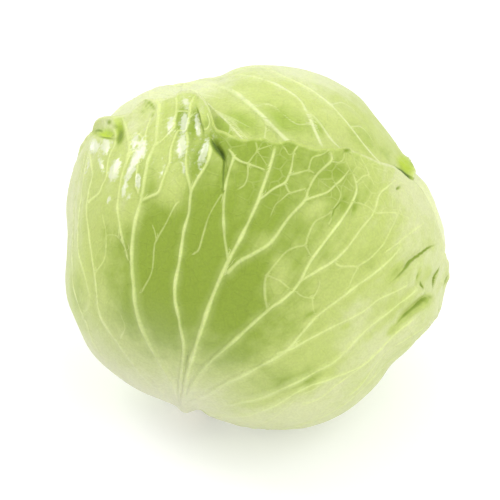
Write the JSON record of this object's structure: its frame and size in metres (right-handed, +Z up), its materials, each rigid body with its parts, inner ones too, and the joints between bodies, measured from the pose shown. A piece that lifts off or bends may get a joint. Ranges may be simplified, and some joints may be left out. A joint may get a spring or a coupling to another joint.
{
  "type": "flat-leaved cabbage head",
  "caption": "Whole cabbage head lying on its side: big veined wrapper leaves with curled edges over a dense head on a cut stem.",
  "frame": {"origin": "middle of the small flat spot that the head rests on", "axes": "+Z up; the cut stem points down to the left and a little to the front; the big front leaf faces -Y; +X to the right"},
  "size_m": [0.1974, 0.1855, 0.1796],
  "materials": {
    "front_leaf": "waxy mid-green leaf with pale raised veins",
    "back_leaf": "waxy light-green leaf with pale raised veins",
    "crown_leaf": "waxy pale-green leaf with cream veins",
    "right_leaf": "smooth pale yellow-green leaf",
    "inner_leaves": "tight pale inner leaves",
    "cut_stem": "cream cut stem, slightly dry at the cut"
  },
  "bodies": {
    "root": {"leaf_front": "front_leaf", "leaf_back": "back_leaf", "leaf_crown": "crown_leaf", "leaf_right": "right_leaf", "head": "inner_leaves", "stem": "cut_stem"}
  },
  "joints": []
}
